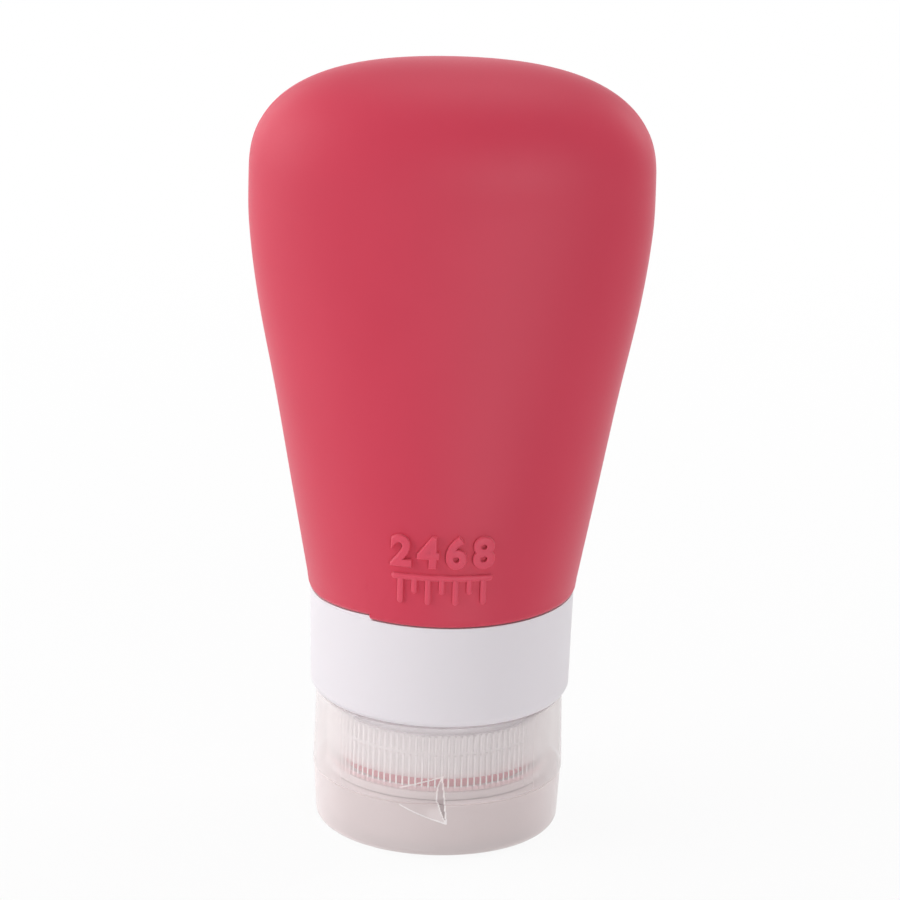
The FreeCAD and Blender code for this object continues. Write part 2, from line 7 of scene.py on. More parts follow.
# %% Load the CAD frame
import json
import math

import bmesh
import bpy
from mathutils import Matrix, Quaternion, Vector

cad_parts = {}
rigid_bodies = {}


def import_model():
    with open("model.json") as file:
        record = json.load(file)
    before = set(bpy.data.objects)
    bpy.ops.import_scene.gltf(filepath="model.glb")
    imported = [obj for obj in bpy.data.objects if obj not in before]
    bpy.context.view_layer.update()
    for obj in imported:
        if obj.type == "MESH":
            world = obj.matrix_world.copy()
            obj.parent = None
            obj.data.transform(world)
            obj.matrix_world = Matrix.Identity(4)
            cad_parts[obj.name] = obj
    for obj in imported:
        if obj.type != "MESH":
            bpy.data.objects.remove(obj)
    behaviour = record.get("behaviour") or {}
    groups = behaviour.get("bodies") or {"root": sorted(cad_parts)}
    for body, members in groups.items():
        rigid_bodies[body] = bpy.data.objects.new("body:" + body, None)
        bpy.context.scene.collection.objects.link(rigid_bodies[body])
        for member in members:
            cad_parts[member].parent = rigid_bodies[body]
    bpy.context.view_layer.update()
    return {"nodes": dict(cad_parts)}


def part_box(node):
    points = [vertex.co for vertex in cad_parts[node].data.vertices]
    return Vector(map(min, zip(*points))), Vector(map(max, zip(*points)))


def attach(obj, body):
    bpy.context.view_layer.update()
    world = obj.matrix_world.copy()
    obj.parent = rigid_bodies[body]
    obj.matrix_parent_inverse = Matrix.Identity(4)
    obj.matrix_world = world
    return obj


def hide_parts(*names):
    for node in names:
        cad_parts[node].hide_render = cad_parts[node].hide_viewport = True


MM = 0.001
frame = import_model()

# %% [markdown]
# ## Sizes and meshes
# The lesson works in millimetres, because that is how a maker thinks of a bottle. One function reads
# a CAD piece's corners, and another turns finished points back into Blender's metres.

# %% Sizes and meshes in millimetres
WELD = 0.001
SHARP_ANGLE = math.radians(40)


def corners(node):
    """Lowest and highest corner of a CAD piece, in millimetres."""
    low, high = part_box(node)
    return low / MM, high / MM


def make_mesh(name, points, faces):
    """Make a smooth-shaded object from points in millimetres, with coinciding points welded."""
    mesh = bpy.data.meshes.new(name)
    mesh.from_pydata([tuple(value * MM for value in point) for point in points], [], faces)
    welding = bmesh.new()
    welding.from_mesh(mesh)
    bmesh.ops.remove_doubles(welding, verts=welding.verts, dist=WELD * MM)
    bmesh.ops.recalc_face_normals(welding, faces=welding.faces)
    welding.to_mesh(mesh)
    welding.free()
    mesh.shade_smooth()
    mesh.set_sharp_from_angle(angle=SHARP_ANGLE)
    piece = bpy.data.objects.new(name, mesh)
    bpy.context.scene.collection.objects.link(piece)
    return piece


body_low, body_high = corners("bottle_body")
print("silicone body from", round(body_low.z, 2), "to", round(body_high.z, 2), "mm above the table")

# %% [markdown]
# Nearly every piece of the bottle is turned about one upright axis. A screw modifier could turn an
# outline too, but it makes true circles only. Here rows of points are laid round the axis and joined
# to a skin, so that a function can press in or lift points where a real piece isn't round.

# %% Skins from rows of points
STEP_GAP = 0.0005
STEP_ROOM = 4 * STEP_GAP


def loft(name, rows, closed=False):
    """Join rows of points, each a ring, into a skin; a closed one joins its last row to its first."""
    around = len(rows[0])
    faces = []
    for row in range(len(rows) if closed else len(rows) - 1):
        this, following = row * around, (row + 1) % len(rows) * around
        for column in range(around):
            beside = (column + 1) % around
            faces.append((this + column, this + beside, following + beside, following + column))
    return make_mesh(name, [point for row in rows for point in row], faces)


def skin(name, rows, angles, closed=False, shape=None):
    """Turn rows of half width, half depth and height about the upright axis; shape may move points.

    Angles count from the front, towards the right.
    """
    turned = []
    for row in rows:
        sizes = [shape(*row, angle) if shape else row for angle in angles]
        turned.append([
            (wide * math.sin(angle), -deep * math.cos(angle), height)
            for (wide, deep, height), angle in zip(sizes, angles)
        ])
    return loft(name, turned, closed)


def round_rows(*pairs):
    """Rows for a skin from pairs of radius and height."""
    return [(radius, radius, height) for radius, height in pairs]


def even_angles(count):
    """Equal angles all round, from the back by the left, the front and the right."""
    return [2 * math.pi * index / count - math.pi for index in range(count)]


def with_steps(angles, edges):
    """Angles with two close ones at each edge, where the surface makes a step."""
    kept = [angle for angle in angles if min(abs(angle - edge) for edge in edges) > STEP_ROOM]
    return sorted(kept + [edge + side for edge in edges for side in (-STEP_GAP, STEP_GAP)])


print("a step in a skin spans", round(math.degrees(2 * STEP_GAP), 3), "degrees")

# %% [markdown]
# ## The outline of the squeeze body
# The body starts round at the collar and ends as a broad, flat-topped oval. Two half sizes describe
# each level: half the width and half the depth. Up the flank they pass smoothly through a few levels
# that were measured on the photograph. Above the widest level a superellipse closes the top: a power
# over two makes it squarer than an ellipse. A subdivision cage could give a like form, but formulas
# let us ask for the surface at any level, which the raised numbers need later.

# %% Half width and half depth at any height
RAMP_HEIGHT = 0.6
SEAT_GAP = 0.05
LIP_HEIGHT = 1.0
LIP_SWELL = 0.22
HALF_WIDTH = 26.5
HALF_DEPTH = 13.2
FLANK_SHARES = [
    # Share of the height, and how far half the width and half the depth have gone by there
    (0.00, 0.00, 0.00),
    (0.18, 0.272, 0.25),
    (0.36, 0.54, 0.50),
    (0.54, 0.83, 0.745),
    (0.68, 0.98, 0.92),
    (0.78, 1.00, 1.00),
]
WIDTH_POWER = 2.54
DEPTH_POWER = 2.1
LIP_BASE = corners("collar")[1].z - RAMP_HEIGHT + SEAT_GAP
LIP_RADIUS = body_high.y + LIP_SWELL
FLANK_BASE = LIP_BASE + LIP_HEIGHT
TOP = body_high.z
WIDEST = FLANK_BASE + (TOP - FLANK_BASE) * FLANK_SHARES[-1][0]


def flank_share(rise, column):
    """How far a half size has gone from round to widest, as a smooth curve through the levels."""
    levels = [(row[0], row[column]) for row in FLANK_SHARES]
    slopes = [(levels[1][1] - levels[0][1]) / (levels[1][0] - levels[0][0])]
    for before, after in zip(levels, levels[2:]):
        slopes.append((after[1] - before[1]) / (after[0] - before[0]))
    slopes.append(0.0)
    for index in range(len(levels) - 1):
        (start, low), (end, high) = levels[index], levels[index + 1]
        if rise <= end:
            break
    span = end - start
    along = (rise - start) / span
    ease = along * along * (3 - 2 * along)
    lead_in = along * (1 - along) ** 2 * span * slopes[index]
    lead_out = along * along * (along - 1) * span * slopes[index + 1]
    return low + (high - low) * ease + lead_in + lead_out


def half_sizes(height, inset=0.0):
    """Half width and half depth of the outside, or of the inside at a depth of inset."""
    base, wide, deep = LIP_RADIUS - inset, HALF_WIDTH - inset, HALF_DEPTH - inset
    if height <= WIDEST:
        rise = max(0.0, (height - FLANK_BASE) / (TOP - FLANK_BASE))
        return (
            base + (wide - base) * flank_share(rise, 1),
            base + (deep - base) * flank_share(rise, 2),
        )
    dome = min(1.0, (height - WIDEST) / (TOP - inset - WIDEST))
    return (
        wide * (1 - dome ** WIDTH_POWER) ** (1 / WIDTH_POWER),
        deep * (1 - dome ** DEPTH_POWER) ** (1 / DEPTH_POWER),
    )


def body_rings(inset=0.0, flank_steps=64, dome_steps=40):
    """Rings of half width, half depth and height, from the flank's base to just below the top."""
    for step in range(flank_steps):
        height = FLANK_BASE + (WIDEST - FLANK_BASE) * step / flank_steps
        yield (*half_sizes(height, inset), height)
    for step in range(dome_steps):
        angle = math.pi / 2 * step / dome_steps
        height = WIDEST + (TOP - inset - WIDEST) * math.sin(angle) ** (2 / WIDTH_POWER)
        yield (*half_sizes(height, inset), height)


print("widest level at", round(WIDEST, 1), "mm, half sizes", half_sizes(WIDEST))

# %% [markdown]
# ## The silicone body
# A real one is moulded in one piece with its neck, and its lip sits on the collar's rim. That rim has a
# small ramp, and the lip is lifted there so that it still follows the rim. On the narrow sides the two
# halves of the mould leave a fine line. A bump could draw that line, but a ridge in the mesh is there
# in every light.

# %% Lip, ramp and mould line
LIP_ROUNDING = 0.8
ARC_STEPS = 6
RAMP_LENGTH = 9.9
RAMP_ANGLE = math.radians(-48)
RAMP_FADE = 6.0
MOULD_LINE_HEIGHT = 0.06
MOULD_LINE_ANGLE = 0.02


def ramp_rise(angle):
    """Height of the rim's ramp at an angle from the front."""
    along = LIP_RADIUS * math.sin(angle - RAMP_ANGLE) / RAMP_LENGTH + 0.5
    facing = math.cos(angle - RAMP_ANGLE) > 0
    return RAMP_HEIGHT * along if facing and 0 <= along <= 1 else 0.0


def soft_lip():
    """Rounded lower edge of the lip, from the inside of the rim outwards."""
    for step in range(ARC_STEPS + 1):
        angle = math.pi / 2 * step / ARC_STEPS
        radius = LIP_RADIUS - LIP_ROUNDING + LIP_ROUNDING * math.sin(angle)
        yield (radius, radius, LIP_BASE + LIP_ROUNDING * (1 - math.cos(angle)))


def body_shape(wide, deep, height, angle):
    """Lift the lip over the ramp and raise the mould's parting line on the narrow sides."""
    if wide < LIP_RADIUS - LIP_ROUNDING or height < LIP_BASE:
        return wide, deep, height
    lift = ramp_rise(angle) * max(0.0, 1 - (height - LIP_BASE) / RAMP_FADE)
    from_side = abs(abs(angle) - math.pi / 2)
    ridge = MOULD_LINE_HEIGHT * max(0.0, 1 - from_side / MOULD_LINE_ANGLE)
    return wide + ridge, deep, height + lift


ramp_end = RAMP_ANGLE + math.asin(RAMP_LENGTH / 2 / LIP_RADIUS)
print("the ramp ends", round(-math.degrees(ramp_end), 1), "degrees left of the front")

# %% [markdown]
# Inside the collar the body goes on as a neck, and inside the cap a flange seals the mouth. We lay rings
# from the inside's top, down the inner wall, out through the mouth and up the outside. Joined in order
# they make one closed skin. A solidify modifier would give the wall too, but the same one everywhere,
# and the neck and the flange are moulded to thicknesses of their own.

# %% Build the silicone body
WALL = 2.4
FLANGE_RADIUS = 12.95
FLANGE_THICKNESS = 1.7
MOUTH_RADIUS = 10.0
NECK_RADIUS = 11.35
SHOULDER_RADIUS = 15.95
SHOULDER_BASE = 20.35
COLUMNS = 240
flange_base = body_low.z
flange_top = flange_base + FLANGE_THICKNESS
funnel_base = SHOULDER_BASE + WALL
shoulder_bore = SHOULDER_RADIUS - WALL
inside = [(0.0, 0.0, TOP - WALL), *reversed(list(body_rings(WALL)))]
neck = round_rows(
    (shoulder_bore, FLANK_BASE - WALL),
    (shoulder_bore, funnel_base + shoulder_bore - MOUTH_RADIUS),
    (MOUTH_RADIUS, funnel_base),
    (MOUTH_RADIUS, flange_base),
    (FLANGE_RADIUS, flange_base),
    (FLANGE_RADIUS, flange_top),
    (NECK_RADIUS, flange_top),
    (NECK_RADIUS, SHOULDER_BASE),
    (SHOULDER_RADIUS, SHOULDER_BASE),
    (SHOULDER_RADIUS, LIP_BASE),
)
outside = [*soft_lip(), *body_rings(), (0.0, 0.0, TOP)]
body_angles = with_steps(even_angles(COLUMNS), [ramp_end])
for side in (-math.pi / 2, math.pi / 2):
    body_angles += [side - MOULD_LINE_ANGLE / 2, side + MOULD_LINE_ANGLE / 2]
body_angles.sort()
silicone_body = skin("silicone_body", inside + neck + outside, body_angles, shape=body_shape)
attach(silicone_body, "bottle")
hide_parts("bottle_body")
print("silicone body:", len(silicone_body.data.polygons), "faces")

# %% [markdown]
# ## A plain raised scale
# Low on the front a plain scale stands out of the rubber, numbers over tick marks, as a mould gives it.
# Displacement would need a very fine mesh for marks this small. Text objects give clean digits, and
# their own bevel softens the edges as a mould does. The digits are then bent onto the front: across and
# up stay as they are, and the relief is counted outwards from the body's surface.

# %% Raise numbers on the front
SCALE_MIDDLE = 40.4
SCALE_NUMBERS = "2468"
NUMBER_SIZE = 5.4
NUMBER_SPACING = 3.6
NUMBER_LEVEL = SCALE_MIDDLE + 2.6
RELIEF = 0.42
RELIEF_ROUNDING = 0.2
ROUNDING_STEPS = 3
STROKE_GAIN = 0.05
SUNK = 0.3


def on_front(side, rise, relief):
    """The point on the front of the body at these sizes across and up, raised by the relief."""
    wide, deep = half_sizes(rise)
    return Vector((side, -deep * math.sqrt(1 - (side / wide) ** 2) - relief, rise))


def raised_number(number, across):
    """A digit drawn as text with soft edges, bent onto the front."""
    lettering = bpy.data.curves.new("number_drawing", "FONT")
    lettering.body = number
    lettering.size = NUMBER_SIZE * MM
    lettering.align_x = "CENTER"
    lettering.align_y = "CENTER"
    lettering.offset = STROKE_GAIN * MM
    lettering.extrude = (RELIEF + SUNK) / 2 * MM
    lettering.bevel_depth = RELIEF_ROUNDING * MM
    lettering.bevel_resolution = ROUNDING_STEPS
    drawing = bpy.data.objects.new("number_drawing", lettering)
    bpy.context.scene.collection.objects.link(drawing)
    bpy.context.view_layer.update()
    drawn = drawing.evaluated_get(bpy.context.evaluated_depsgraph_get())
    flat = bpy.data.meshes.new_from_object(drawn)
    bpy.data.objects.remove(drawing)
    middle = Vector((across, NUMBER_LEVEL, (RELIEF - SUNK) / 2))
    points = [on_front(*(vertex.co / MM + middle)) for vertex in flat.vertices]
    faces = [tuple(face.vertices) for face in flat.polygons]
    return make_mesh(f"scale_number_{number}", points, faces)


first_number = -(len(SCALE_NUMBERS) - 1) / 2 * NUMBER_SPACING
relief_pieces = [
    raised_number(number, first_number + index * NUMBER_SPACING)
    for index, number in enumerate(SCALE_NUMBERS)
]
print("raised numbers:", len(relief_pieces))

# %% [markdown]
# The rule and the ticks are bars with half-round ends. A bevelled curve would do on a flat plate. Here
# a soft-edged section is swept along a line on the curved front and narrows at both ends, so that each
# of its points has its own height over the rubber.

# %% Rule and ticks
RULE_LEVEL = SCALE_MIDDLE - 0.6
RULE_LENGTH = 13.2
LONG_TICK = 3.6
SHORT_TICK = 2.2
STROKE = 0.8
BAR_END_STEPS = 4
BAR_STEP = 0.6
BAR_SECTION = (
    # Share of half the stroke, and relief
    (-1.0, -SUNK), (-1.0, 0.22), (-0.8, 0.36), (-0.5, RELIEF),
    (0.5, RELIEF), (0.8, 0.36), (1.0, 0.22), (1.0, -SUNK),
)


def raised_bar(name, across, level, length, upright):
    """A bar with half-round ends that runs down from its level, or to the right of across."""
    radius = STROKE / 2
    turns = [math.pi / 2 * step / BAR_END_STEPS for step in range(BAR_END_STEPS + 1)]
    start = [(radius * (1 - math.cos(turn)), math.sin(turn)) for turn in turns]
    straight = length - STROKE
    count = math.ceil(straight / BAR_STEP)
    middle = [(radius + straight * step / count, 1.0) for step in range(1, count)]
    end = [(length - place, share) for place, share in reversed(start)]
    rows = []
    for place, share in start + middle + end:
        row = []
        for offset, relief in BAR_SECTION:
            sideways = offset * share * radius
            side, rise = (sideways, -place) if upright else (place, sideways)
            drop = RELIEF_ROUNDING * (1 - share) if relief > 0 else 0.0
            row.append(on_front(across + side, level + rise, relief - drop))
        rows.append(row)
    return loft(name, rows)


rule = raised_bar("scale_rule", -RULE_LENGTH / 2, RULE_LEVEL, RULE_LENGTH, upright=False)
relief_pieces.append(rule)
for index in range(2 * len(SCALE_NUMBERS) - 1):
    length = SHORT_TICK if index % 2 else LONG_TICK
    across = first_number + index * NUMBER_SPACING / 2
    tick = raised_bar(f"scale_tick_{index + 1}", across, RULE_LEVEL, length, upright=True)
    relief_pieces.append(tick)
for piece in relief_pieces:
    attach(piece, "bottle")
print("raised scale:", len(relief_pieces), "pieces")

# %% [markdown]
# ## Clear cap and lid
# Clear plastic shows its edges before anything else, so the cap and the lid are rebuilt with edges as
# a polished mould leaves them. Each is an outline of radius and height, its corners softened, turned
# about the upright axis. A bevel modifier could soften the corners, but it would also catch on the fine
# faces at the thumb scoop.

# %% Softened outlines
CORNER_SHARE = 0.45
CORNER_STEPS = 4


def soft_corners(outline, rounding, closed):
    """Replace the corners of an outline by small curves that leave some of each stretch straight."""
    softened = []
    for index, place in enumerate(outline):
        corner = Vector(place)
        if not closed and index in (0, len(outline) - 1):
            softened.append(corner)
            continue
        before = Vector(outline[index - 1]) - corner
        after = Vector(outline[(index + 1) % len(outline)]) - corner
        reach = min(rounding, CORNER_SHARE * before.length, CORNER_SHARE * after.length)
        start = corner + before.normalized() * reach
        end = corner + after.normalized() * reach
        for step in range(CORNER_STEPS + 1):
            share = step / CORNER_STEPS
            softened.append(start.lerp(corner, share).lerp(corner.lerp(end, share), share))
    return softened


def divided(outline, longest, closed):
    """Divide the stretches of an outline; longest gives the greatest step at a radius and height."""
    finer = []
    for index in range(len(outline) if closed else len(outline) - 1):
        start, end = outline[index], outline[(index + 1) % len(outline)]
        parts = max(1, math.ceil((end - start).length / longest(*start.lerp(end, 0.5))))
        finer += [start.lerp(end, part / parts) for part in range(parts)]
    return finer if closed else [*finer, outline[-1]]


print("each softened corner has", CORNER_STEPS + 1, "points")

# %% [markdown]
# The thumb scoop is the mark of a bent tube. It leaves the wall on the left, deepens towards the middle
# and ends there at a slanting face. A boolean cut would leave hard edges. Here the wall's radius is
# blended with the scoop's instead, and the blend rounds the ridge between them. The tube's middle line
# is an arc about a point in front of the axis, so the distance from that point says where the scoop's
# surface lies.

# %% Thumb scoop
CAP_RADIUS = 16.6
SCOOP_TUBE = 7.4
SCOOP_OFFSET = 3.8
SCOOP_LEVEL = 8.2
SCOOP_START = math.radians(-34)
SCOOP_END = math.radians(3.8)
SCOOP_END_SLOPE = math.tan(math.radians(39))
SCOOP_END_LEAN = 0.1
SCOOP_LIMIT = math.radians(8)
SCOOP_SAMPLES = 200
RIDGE_BLEND = 0.12


def scoop_radii(angle, height, wall):
    """Radius of the scoop's tube and of its end face, by a wall of this radius.

    Both are infinite away from the scoop.
    """
    lift = height - SCOOP_LEVEL
    turn = angle - SCOOP_START
    if turn < 0 or angle > SCOOP_LIMIT or abs(lift) > SCOOP_TUBE:
        return math.inf, math.inf
    reach = CAP_RADIUS - SCOOP_OFFSET + SCOOP_TUBE - math.sqrt(SCOOP_TUBE ** 2 - lift ** 2)
    beside = SCOOP_OFFSET * math.sin(turn)
    tube = SCOOP_OFFSET * math.cos(turn) + math.sqrt(reach ** 2 - beside ** 2)
    to_end = wall * math.sin(SCOOP_END - angle) - SCOOP_END_LEAN * lift
    return tube, wall - to_end * SCOOP_END_SLOPE


def scooped(radius, angle, height):
    """The wall's radius blended with the scoop's."""
    scoop = max(scoop_radii(angle, height, radius))
    if scoop - radius > RIDGE_BLEND:
        return radius
    near = max(0.0, RIDGE_BLEND - abs(scoop - radius)) / RIDGE_BLEND
    return min(scoop, radius) - near * near * RIDGE_BLEND / 4


scoop_angles = [
    SCOOP_START + (SCOOP_END - SCOOP_START) * sample / SCOOP_SAMPLES
    for sample in range(SCOOP_SAMPLES)
]
deepest = CAP_RADIUS - min(scooped(CAP_RADIUS, angle, SCOOP_LEVEL) for angle in scoop_angles)
print("scoop at most", round(deepest, 2), "mm deep")

# %% [markdown]
# The scoop needs a fine net of points, and the rest of the walls a coarse one. One function chooses
# the steps along an outline, and another the angles round the axis.

# %% Fine steps at the scoop
CAP_BORE = 14.85
DECK_GAP = 0.05
WALL_OUTSIDE = CAP_BORE + DECK_GAP
SCOOP_REACH = 4.0
FINE_STEP = 0.1
COARSE_STEP = 3.0
FINE_ANGLE = math.radians(0.36)
FINE_LEAD = 8
COARSE_ANGLE = math.radians(4)


def wall_step(radius, height):
    """Fine steps where the scoop is, coarse ones elsewhere."""
    near_scoop = radius > WALL_OUTSIDE and abs(height - SCOOP_LEVEL) < SCOOP_REACH
    return FINE_STEP if near_scoop else COARSE_STEP


def wall_angles(edges):
    """Angles round the wall: fine ones at the scoop, and steps at the given edges."""
    fine_count = round((SCOOP_LIMIT - SCOOP_START) / FINE_ANGLE)
    fine = [SCOOP_START + FINE_ANGLE * index for index in range(-FINE_LEAD, fine_count)]
    coarse = [
        angle for angle in even_angles(round(2 * math.pi / COARSE_ANGLE))
        if not fine[0] - FINE_ANGLE < angle < fine[-1] + FINE_ANGLE
    ]
    return with_steps(sorted(fine + coarse), edges)


print("steps of", FINE_STEP, "mm at the scoop and", COARSE_STEP, "mm elsewhere")

# %% [markdown]
# The cap's wall and its deck with the spout are one moulding. Here they are separate skins with a hair's
# breadth between them, so that light isn't caught between the faces of the deck. At the back a notch in
# the wall gives room to the tongue of the open lid, which lies at 45 degrees there.

# %% Cap wall
CAP_TOP_RADIUS = 16.35
CAP_TOP = corners("cap_shell")[1].z
CAP_BASE = 7.7
CAP_EDGE = 0.15
HINGE_Y = 14.9
HINGE_Z = 6.2
EAR_START = 2.3
TONGUE_ROOM = 1.45
OPEN_ANGLE = math.radians(135)
NOTCH_ANGLE = EAR_START / HINGE_Y


def cap_radius_at(height):
    """Outer radius of the cap's wall, which narrows a little towards the collar."""
    return CAP_RADIUS + (CAP_TOP_RADIUS - CAP_RADIUS) * (height - CAP_BASE) / (CAP_TOP - CAP_BASE)


def tongue_level(radius):
    """Height below which the notch for the open lid's tongue cuts the wall."""
    return HINGE_Z + (radius - HINGE_Y) + TONGUE_ROOM / math.cos(math.pi - OPEN_ANGLE)


notch_radius = cap_radius_at(tongue_level(CAP_RADIUS))


def cap_shape(wide, deep, height, angle):
    """Cut the scoop into the wall, and the notch into its back."""
    cut_radius = min(wide, notch_radius)
    if math.pi - abs(angle) < NOTCH_ANGLE and height < tongue_level(cut_radius):
        return cut_radius, cut_radius, tongue_level(cut_radius)
    radius = scooped(wide, angle, height) if wide > WALL_OUTSIDE else wide
    return radius, radius, height


notch_edges = [NOTCH_ANGLE - math.pi, math.pi - NOTCH_ANGLE]
scoop_top = SCOOP_LEVEL + SCOOP_REACH
wall_outline = soft_corners(
    [
        (CAP_RADIUS, CAP_BASE),
        (cap_radius_at(scoop_top), scoop_top),
        (CAP_TOP_RADIUS, CAP_TOP),
        (CAP_BORE, CAP_TOP),
        (CAP_BORE, CAP_BASE),
    ],
    CAP_EDGE, closed=True,
)
cap_rows = round_rows(*divided(wall_outline, wall_step, closed=True))
cap_wall = skin("cap_wall", cap_rows, wall_angles(notch_edges), closed=True, shape=cap_shape)
print("cap wall:", len(cap_wall.data.polygons), "faces")

# %% Deck and spout
DECK_TOP = 8.8
DECK_COLUMNS = 90
SPOUT_RADIUS = 6.4
SPOUT_END = 3.5
SEAT_RADIUS = 5.2
VALVE_SEAT = 4.4
OUTLET_RADIUS = 3.3


def deck_shape(wide, deep, height, angle):
    """Cut the notch for the tongue into the deck's back."""
    in_notch = math.pi - abs(angle) < NOTCH_ANGLE
    radius = min(wide, HINGE_Y - TONGUE_ROOM / 2) if in_notch else wide
    return radius, radius, height


deck_radius = CAP_BORE - DECK_GAP
deck_outline = soft_corners(
    [
        (OUTLET_RADIUS, SPOUT_END),
        (SPOUT_RADIUS, SPOUT_END),
        (SPOUT_RADIUS, CAP_BASE),
        (deck_radius, CAP_BASE),
        (deck_radius, DECK_TOP),
        (SEAT_RADIUS, DECK_TOP),
        (SEAT_RADIUS, VALVE_SEAT),
        (OUTLET_RADIUS, VALVE_SEAT),
    ],
    CAP_EDGE, closed=True,
)
deck_angles = with_steps(even_angles(DECK_COLUMNS), notch_edges)
cap_deck = skin("cap_deck", round_rows(*deck_outline), deck_angles, closed=True, shape=deck_shape)
print("deck and spout:", len(cap_deck.data.polygons), "faces")

# %% [markdown]
# Two ears hang from the deck's back and hold the lid's trunnions, as on many flip caps. An ear is round
# about the hinge line and squared off where it reaches up to the deck. A cylinder and a box could be
# joined for that. One ring of points round the hinge line, cut off by straight sides, needs no joining.

# %% Hinge ears
BARREL_RADIUS = 1.2
EAR_END = 4.0
EAR_HOLE = 0.66
LEAF_POINTS = 48
LEAST_SHARE = 0.001


def hinge_leaf(name, start, end, radius, down, up, hole=0.0):
    """A leaf about the hinge line from start to end in X, squared where it reaches past its radius."""
    outline, bore = [], []
    for direction in even_angles(LEAF_POINTS):
        side, rise = math.cos(direction), math.sin(direction)
        limit = up if rise > 0 else down
        reach = radius
        if limit > radius:
            reach = min(radius / max(abs(side), LEAST_SHARE), limit / max(abs(rise), LEAST_SHARE))
        outline.append((reach * side, reach * rise))
        bore.append((hole * side, hole * rise))
    rows = [
        [(across, HINGE_Y + side, HINGE_Z + rise) for side, rise in places]
        for across, places in ((start, outline), (end, outline), (end, bore), (start, bore))
    ]
    return loft(name, rows, closed=True)


ear_rise = CAP_BASE - HINGE_Z + CAP_EDGE
ears = [
    hinge_leaf(f"{side}_hinge_ear", start, end, BARREL_RADIUS, BARREL_RADIUS, ear_rise, EAR_HOLE)
    for side, start, end in (("left", -EAR_END, -EAR_START), ("right", EAR_START, EAR_END))
]
for piece in (cap_wall, cap_deck, *ears):
    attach(piece, "cap")
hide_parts("cap_shell")
print("hinge ears:", len(ears), "reaching", round(ear_rise, 2), "mm above the hinge line")

# %% [markdown]
# Inside the wall sits the threaded ring, a moulding of its own that is pressed into the cap. Its fine
# ribs are what one sees through the cap: their tops get a whiter, denser haze, a painted highlight for
# the light they gather, while the grooves between them are only milky. An array of single ribs would
# do, but one skin whose radius steps in and out is closed and needs no joining. Low down the ring is a
# clear window in front of the body's red flange, and its foot gets a rosy tint, a painted reflection of
# that flange. The faces of each are picked here for their finish.

# %% Ribbed ring
RING_BORE = 14.0
RIB_COUNT = 106
RIB_ROOT = 14.45
RIB_TIP = 14.8
RIB_SHARES = (
    # Share of the way to the next rib, and of the rib's height there
    (0.0, 0.0), (0.5, 0.0), (0.62, 1.0), (0.88, 1.0),
)
RING_SEAM = 14.1
SEAM_WIDTH = 0.3
WINDOW_LOW = 9.45
ring_low, ring_high = corners("thread_ring")
rib_pitch = 2 * math.pi / RIB_COUNT
rib_heights = {}
for rib in range(RIB_COUNT):
    for along, share in RIB_SHARES:
        rib_heights[(rib + along) * rib_pitch - math.pi] = share


def ring_shape(wide, deep, height, angle):
    """Let the outside step in and out with the ribs."""
    radius = RIB_ROOT + (wide - RIB_ROOT) * rib_heights[angle] if wide > RIB_ROOT else wide
    return radius, radius, height


ring_rows = round_rows(
    (RING_BORE, ring_low.z),
    (RIB_ROOT, ring_low.z),
    (RIB_TIP, ring_low.z + CAP_EDGE),
    (RIB_TIP, WINDOW_LOW),
    (RIB_TIP, flange_top),
    (RIB_TIP, RING_SEAM - SEAM_WIDTH),
    (RIB_ROOT, RING_SEAM - SEAM_WIDTH / 2),
    (RIB_ROOT, RING_SEAM + SEAM_WIDTH / 2),
    (RIB_TIP, RING_SEAM + SEAM_WIDTH),
    (RIB_TIP, ring_high.z - CAP_EDGE),
    (RIB_ROOT, ring_high.z),
    (RING_BORE, ring_high.z),
    (RING_BORE, flange_top),
)
ribbed_ring = skin("ribbed_ring", ring_rows, sorted(rib_heights), closed=True, shape=ring_shape)
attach(ribbed_ring, "cap")
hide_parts("thread_ring")
print("ring with", RIB_COUNT, "ribs:", len(ribbed_ring.data.polygons), "faces")


# %% Rib tops, window and foot of the ring
def least_radius(face):
    """Smallest radius among the corners of a face of the ring, in millimetres."""
    places = [ribbed_ring.data.vertices[index].co for index in face.vertices]
    return min(Vector(place[:2]).length for place in places) / MM


ring_faces = list(ribbed_ring.data.polygons)
rib_tops = [face for face in ring_faces if least_radius(face) > RIB_TIP - CAP_EDGE]
upper_rib_tops = [face for face in rib_tops if face.center.z > flange_top * MM]
ring_window = [face for face in ring_faces if face.center.z < flange_top * MM]
ring_foot = [
    face for face in ring_window
    if face.center.z < WINDOW_LOW * MM and least_radius(face) > RING_BORE + WELD
]
print(len(rib_tops), "rib tops,", len(ring_window), "faces in front of the flange")

# %% [markdown]
# The lid is a shallow cup with a guide ring for the spout, a stopper under the valve, and a wide gap in
# its back wall for the ears. Its tongue carries the trunnions that turn in them. All round forms could
# be single pieces. One outline from the stopper's middle, over the guide ring and the wall to the middle
# of the foot, gives the whole cup in one turn, without hidden faces that would show in clear plastic.

# %% Flip lid
LID_HEIGHT = 7.55
LID_RADIUS = 16.45
LID_BASE_RADIUS = 16.1
LID_BORE = 14.5
LID_FLOOR = 1.3
LID_BASE_ROUNDING = 1.2
GUIDE_BORE = 6.65
GUIDE_RADIUS = 7.55
GUIDE_TOP = 4.5
STOPPER_RADIUS = 2.4
STOPPER_TOP = 4.3
SLOT_HALF = 6.2
SLOT_ANGLE = SLOT_HALF / LID_RADIUS


def lid_radius_at(height):
    """Outer radius of the lid's wall, which widens a little upwards from its rounded foot."""
    rise = (height - LID_BASE_ROUNDING) / (LID_HEIGHT - LID_BASE_ROUNDING)
    return LID_BASE_RADIUS + (LID_RADIUS - LID_BASE_RADIUS) * rise


